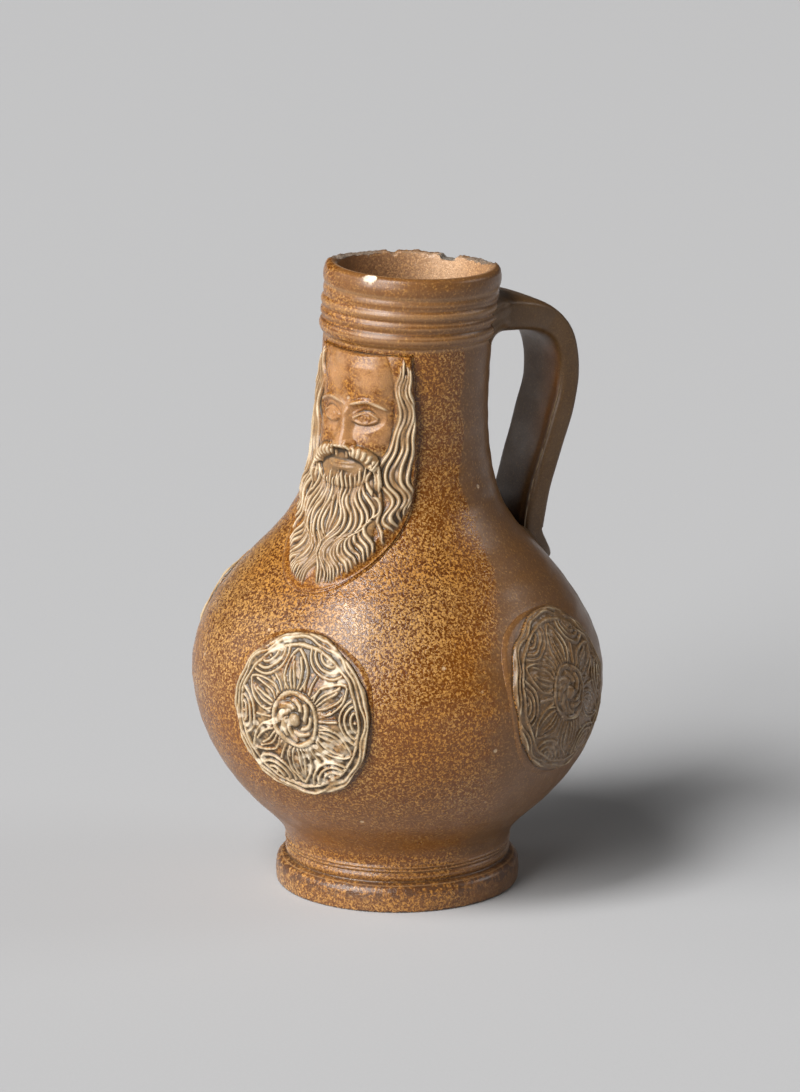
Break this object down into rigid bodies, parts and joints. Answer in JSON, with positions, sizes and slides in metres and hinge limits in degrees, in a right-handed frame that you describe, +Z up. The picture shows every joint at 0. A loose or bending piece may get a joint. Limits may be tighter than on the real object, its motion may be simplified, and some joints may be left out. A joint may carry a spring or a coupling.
{
  "type": "bartmann jug",
  "caption": "Round-bellied salt-glazed stoneware jug with a strap handle, a bearded mask on its neck and rosette medallions, for storing and pouring drink.",
  "frame": {"origin": "centre of the foot's underside", "axes": "+Z up the throwing axis, out of the mouth; +Y towards the handle; +X to the right of somebody who looks at the side opposite the handle"},
  "size_m": [0.1456, 0.142, 0.215],
  "materials": {
    "body_glaze": "brown mottled salt glaze",
    "handle_glaze": "olive-brown salt glaze",
    "mask_glaze": "pale buff salt glaze, grey in the recesses",
    "medallion_glaze": "pale buff salt glaze, grey in the recesses",
    "slip": "fired clay slip under the glaze"
  },
  "bodies": {
    "root": {"thrown_body": "body_glaze", "strap_handle": "handle_glaze", "handle_top_slip": "slip", "handle_tail_slip": "slip", "bearded_mask": "mask_glaze", "mask_slip": "slip", "medallion_front": "medallion_glaze", "medallion_front_slip": "slip", "medallion_right": "medallion_glaze", "medallion_right_slip": "slip", "medallion_left": "medallion_glaze", "medallion_left_slip": "slip"}
  },
  "joints": []
}
